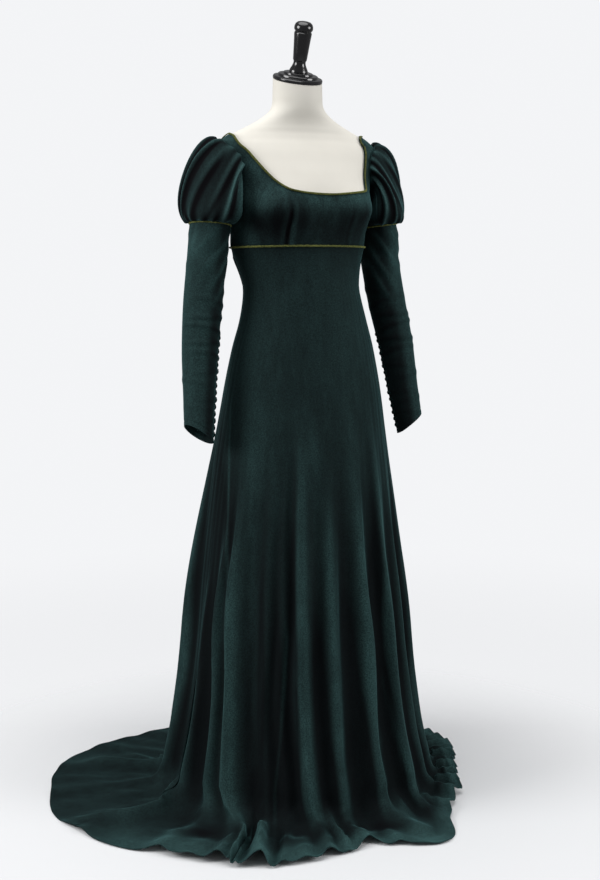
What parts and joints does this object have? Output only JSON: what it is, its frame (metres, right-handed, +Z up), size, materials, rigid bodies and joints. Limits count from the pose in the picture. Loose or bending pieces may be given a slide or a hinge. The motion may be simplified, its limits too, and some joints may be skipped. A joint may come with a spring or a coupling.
{
  "type": "renaissance gown on dress form",
  "caption": "Full-length velvet gown with a raised waist, square neck, puffed and buttoned long sleeves and a short train, worn by a limbless dress form on a stand.",
  "frame": {"origin": "centre of the underside of the stand's base, on the floor", "axes": "+Z up, the gown's front faces -Y, the wearer's left is +X"},
  "size_m": [0.9426, 0.8868, 1.6292],
  "materials": {
    "gown_velvet": "dark green pile velvet",
    "trim_velvet": "olive green velvet binding and piping",
    "form_cloth": "cream jersey pulled smooth",
    "turned_wood": "turned, gloss black lacquer",
    "stand_metal": "satin black paint"
  },
  "bodies": {
    "root": {"bodice_front": "gown_velvet", "bodice_back": "gown_velvet", "skirt_front": "gown_velvet", "skirt_back": "gown_velvet", "puff_left": "gown_velvet", "sleeve_left": "gown_velvet", "band_trim_left": "trim_velvet", "puff_right": "gown_velvet", "sleeve_right": "gown_velvet", "band_trim_right": "trim_velvet", "neck_trim": "trim_velvet", "waist_trim": "trim_velvet", "button_left_01": "gown_velvet", "button_left_02": "gown_velvet", "button_left_03": "gown_velvet", "button_left_04": "gown_velvet", "button_left_05": "gown_velvet", "button_left_06": "gown_velvet", "button_left_07": "gown_velvet", "button_left_08": "gown_velvet", "button_left_09": "gown_velvet", "button_left_10": "gown_velvet", "button_left_11": "gown_velvet", "button_left_12": "gown_velvet", "button_left_13": "gown_velvet", "button_left_14": "gown_velvet", "button_left_15": "gown_velvet", "button_right_01": "gown_velvet", "button_right_02": "gown_velvet", "button_right_03": "gown_velvet", "button_right_04": "gown_velvet", "button_right_05": "gown_velvet", "button_right_06": "gown_velvet", "button_right_07": "gown_velvet", "button_right_08": "gown_velvet", "button_right_09": "gown_velvet", "button_right_10": "gown_velvet", "button_right_11": "gown_velvet", "button_right_12": "gown_velvet", "button_right_13": "gown_velvet", "button_right_14": "gown_velvet", "button_right_15": "gown_velvet", "form_torso": "form_cloth", "neck_cap": "turned_wood", "neck_handle": "turned_wood", "stand_pole": "stand_metal", "stand_base": "stand_metal"}
  },
  "joints": []
}
